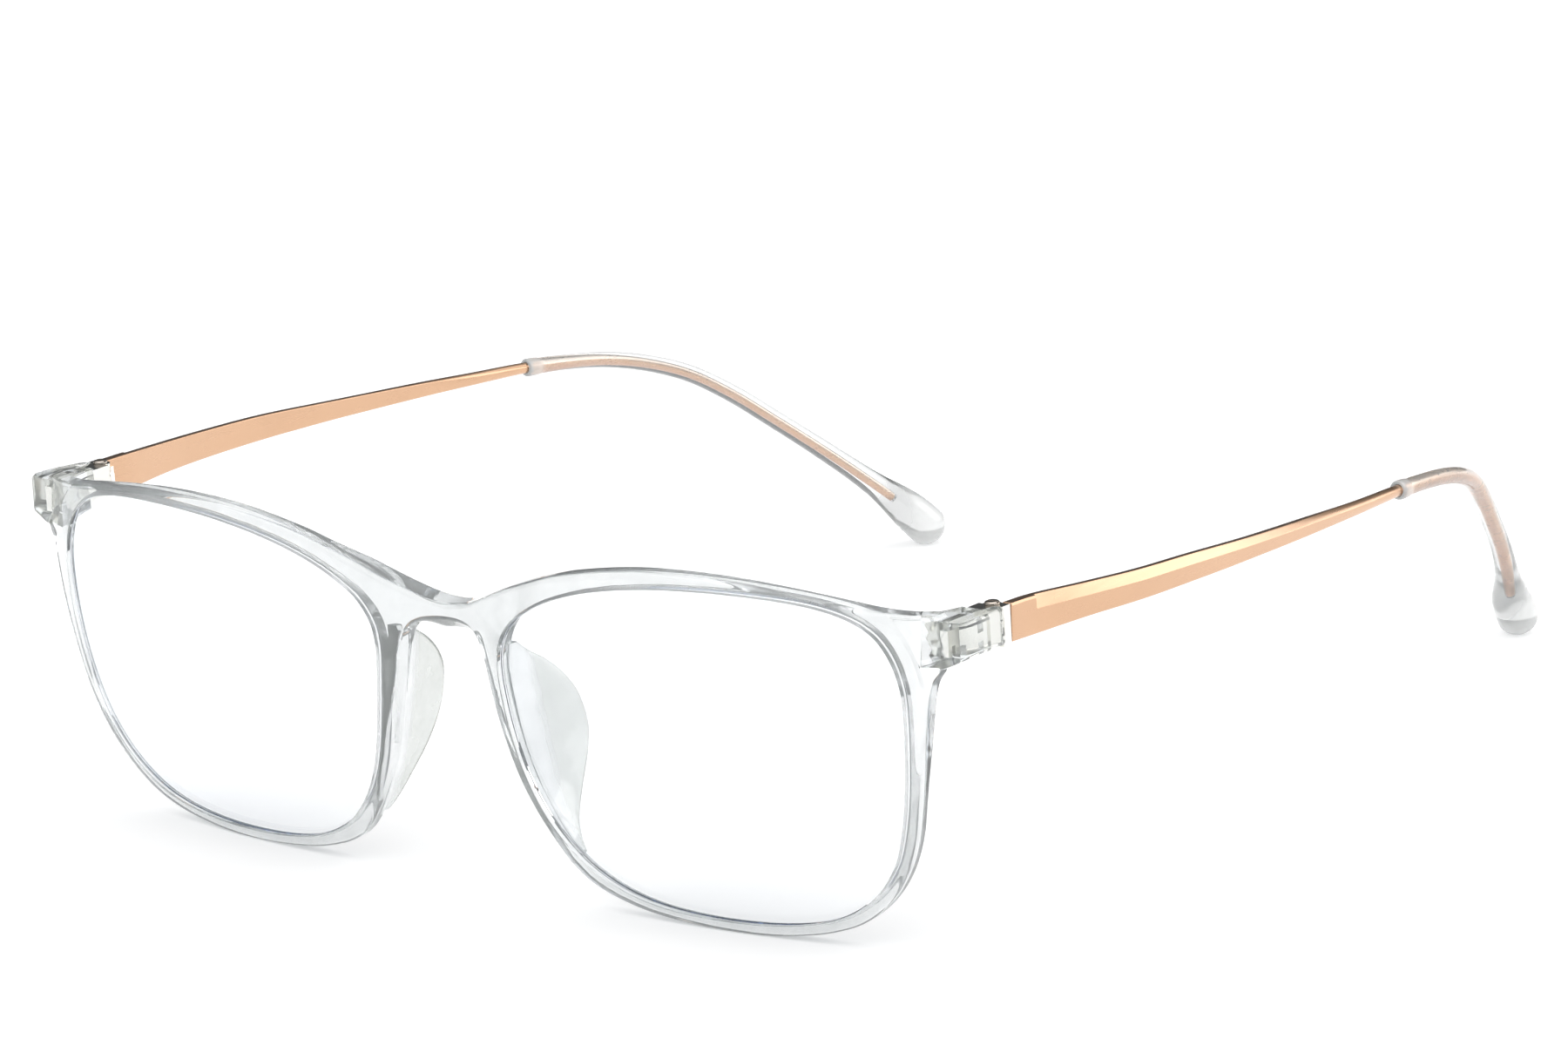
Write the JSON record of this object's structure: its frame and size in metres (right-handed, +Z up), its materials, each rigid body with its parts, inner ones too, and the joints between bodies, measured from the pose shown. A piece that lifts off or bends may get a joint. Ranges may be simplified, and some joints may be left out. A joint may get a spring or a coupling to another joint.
{
  "type": "eyeglasses",
  "caption": "Full-rim glasses with a clear moulded front, plano light-filtering lenses and slim metal temples that fold on screw hinges, with clear sleeve tips.",
  "frame": {"origin": "on the resting plane, in the middle of the width and of the length, with the glasses open", "axes": "+X towards the wearer's left, +Y from the front back along the temples, +Z up, standing on the rims and the temple ends"},
  "size_m": [0.142, 0.149, 0.0423],
  "materials": {
    "clear_frame": "polished clear plastic",
    "lens": "clear plano lens with a faint blue anti-reflection coating",
    "hinge_metal": "satin nickel silver",
    "screw_steel": "bright steel with a slotted head",
    "washer_nylon": "natural nylon",
    "rose_gold": "satin rose gold plating",
    "clear_tip": "polished clear plastic sleeve"
  },
  "bodies": {
    "front": {"front_frame": "clear_frame", "lens_left": "lens", "lens_right": "lens", "hinge_plate_left": "hinge_metal", "hinge_plate_right": "hinge_metal", "hinge_screw_left": "screw_steel", "hinge_screw_right": "screw_steel", "hinge_washer_upper_left": "washer_nylon", "hinge_washer_upper_right": "washer_nylon", "hinge_washer_lower_left": "washer_nylon", "hinge_washer_lower_right": "washer_nylon"},
    "temple_left": {"temple_knuckle_left": "hinge_metal", "temple_arm_left": "rose_gold", "temple_tip_left": "clear_tip"},
    "temple_right": {"temple_knuckle_right": "hinge_metal", "temple_arm_right": "rose_gold", "temple_tip_right": "clear_tip"}
  },
  "joints": [
    {"name": "temple_left_fold", "type": "hinge", "parent": "front", "child": "temple_left", "pos_m": [0.067, -0.05742, 0.03662], "axis": [0, 0, 1], "range_deg": [0, 82]},
    {"name": "temple_right_fold", "type": "hinge", "parent": "front", "child": "temple_right", "pos_m": [-0.067, -0.05742, 0.03662], "axis": [0, 0, -1], "range_deg": [0, 76]}
  ]
}
